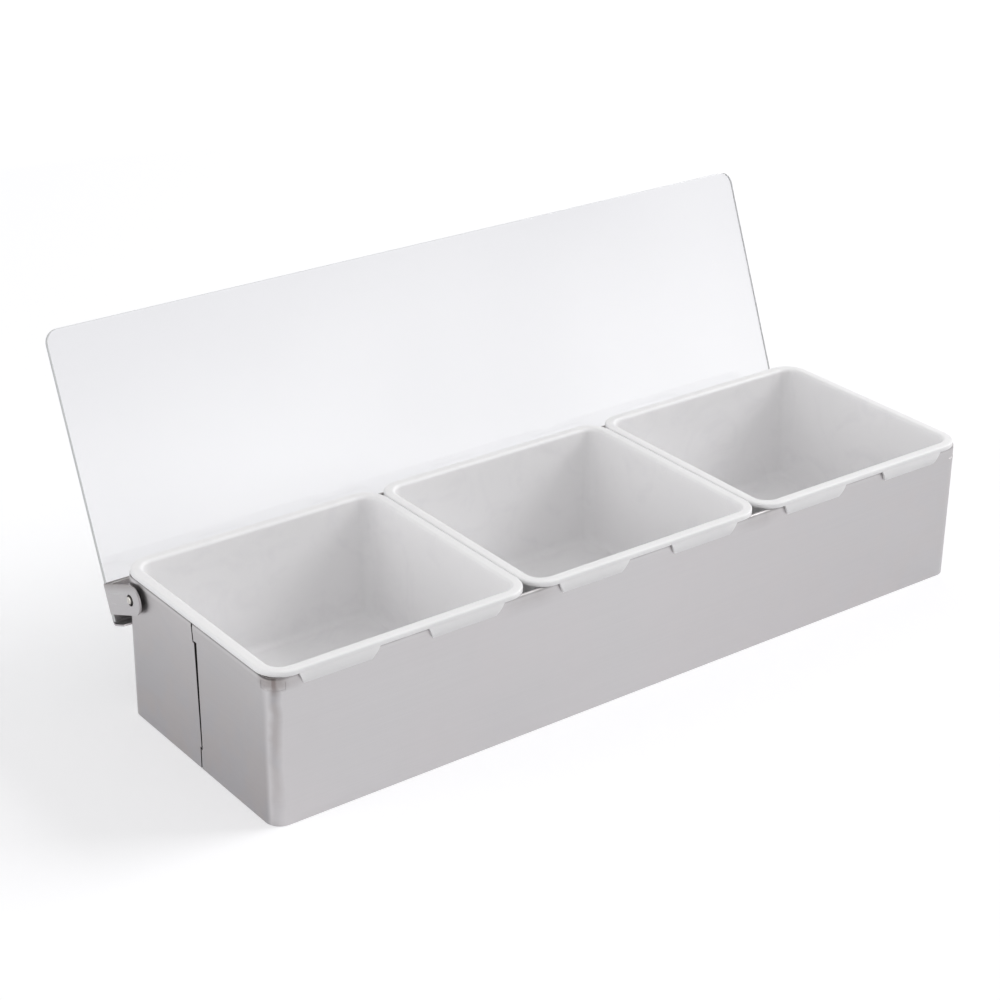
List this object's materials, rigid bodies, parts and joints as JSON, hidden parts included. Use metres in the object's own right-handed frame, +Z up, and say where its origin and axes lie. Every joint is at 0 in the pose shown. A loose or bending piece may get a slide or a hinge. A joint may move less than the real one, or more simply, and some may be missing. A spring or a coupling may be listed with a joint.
{
  "type": "condiment caddy",
  "caption": "Long steel condiment box with white drop-in tubs side by side and a full-length clear lid that hinges up at the back on two pins.",
  "frame": {"origin": "middle of the flat underside of the box, where it rests on the counter", "axes": "+X runs along the box to the right as seen from the front, +Y points to the back where the lid is hinged, +Z is up; the front faces -Y"},
  "size_m": [0.4976, 0.2237, 0.201],
  "materials": {
    "box_steel": "satin stainless steel sheet, brushed along the length",
    "pan_steel": "satin stainless steel sheet",
    "tub_plastic": "white moulded plastic, soft sheen",
    "clear_lid": "clear colourless plastic sheet, polished",
    "bracket_steel": "satin stainless steel sheet",
    "strip_steel": "satin stainless steel sheet",
    "rivet_metal": "cold-headed steel, dull",
    "pin_steel": "bright turned steel",
    "washer_plastic": "moulded black nylon, dull"
  },
  "bodies": {
    "caddy": {"box_shell": "box_steel", "base_pan": "pan_steel", "hinge_pin_left": "pin_steel", "hinge_pin_right": "pin_steel", "spacer_washer_left": "washer_plastic", "spacer_washer_right": "washer_plastic"},
    "lid": {"lid_panel": "clear_lid", "hinge_bracket": "bracket_steel", "stop_strip": "strip_steel", "lid_rivets": "rivet_metal"},
    "left_tub": {"tub_left": "tub_plastic"},
    "middle_tub": {"tub_middle": "tub_plastic"},
    "right_tub": {"tub_right": "tub_plastic"}
  },
  "joints": [
    {"name": "lid_hinge", "type": "hinge", "parent": "caddy", "child": "lid", "pos_m": [0, 0.0629, 0.0735], "axis": [-1, 0, 0], "range_deg": [-116.7, 0]},
    {"name": "left_tub_lift", "type": "slide", "parent": "caddy", "child": "left_tub", "axis": [0, 0, 1], "range_m": [0, 0.1]},
    {"name": "middle_tub_lift", "type": "slide", "parent": "caddy", "child": "middle_tub", "axis": [0, 0, 1], "range_m": [0, 0.1]},
    {"name": "right_tub_lift", "type": "slide", "parent": "caddy", "child": "right_tub", "axis": [0, 0, 1], "range_m": [0, 0.1]}
  ]
}
